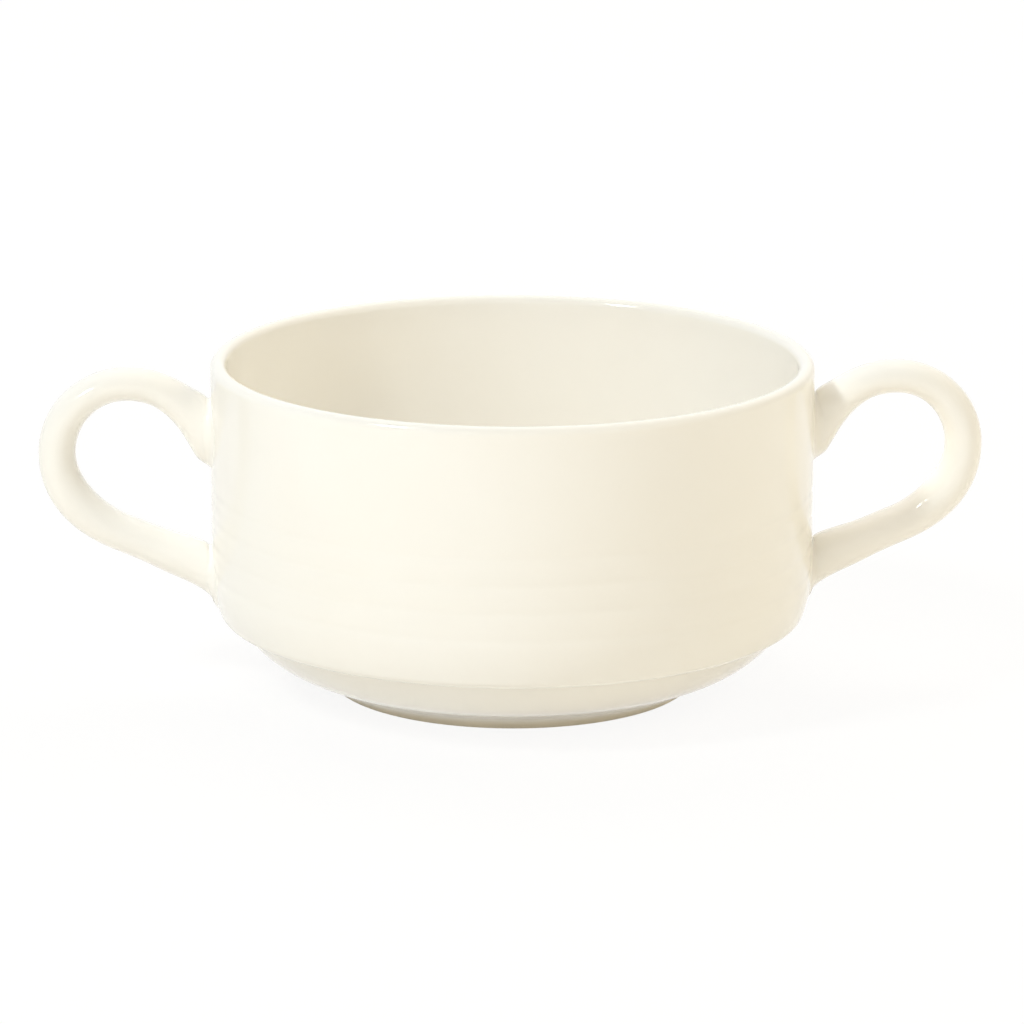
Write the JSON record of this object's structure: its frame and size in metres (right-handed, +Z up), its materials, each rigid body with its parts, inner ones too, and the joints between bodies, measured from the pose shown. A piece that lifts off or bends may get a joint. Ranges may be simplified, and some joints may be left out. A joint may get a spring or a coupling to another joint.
{
  "type": "soup cup",
  "caption": "Stackable soup cup of ivory glazed porcelain: a round straight-walled bowl with a stepped base and foot ring, and a loop handle stuck on at each side.",
  "frame": {"origin": "middle of the foot ring on the table", "axes": "+Z up along the bowl's axis, +X along the handles towards the right one, +Y away from the viewer of the picture"},
  "size_m": [0.1632, 0.104, 0.0573],
  "materials": {
    "ivory_glaze": "gloss",
    "glazed_slip": "gloss"
  },
  "bodies": {
    "root": {"bowl": "ivory_glaze", "left_handle": "ivory_glaze", "right_handle": "ivory_glaze", "left_upper_slip": "glazed_slip", "left_lower_slip": "glazed_slip", "right_upper_slip": "glazed_slip", "right_lower_slip": "glazed_slip"}
  },
  "joints": []
}
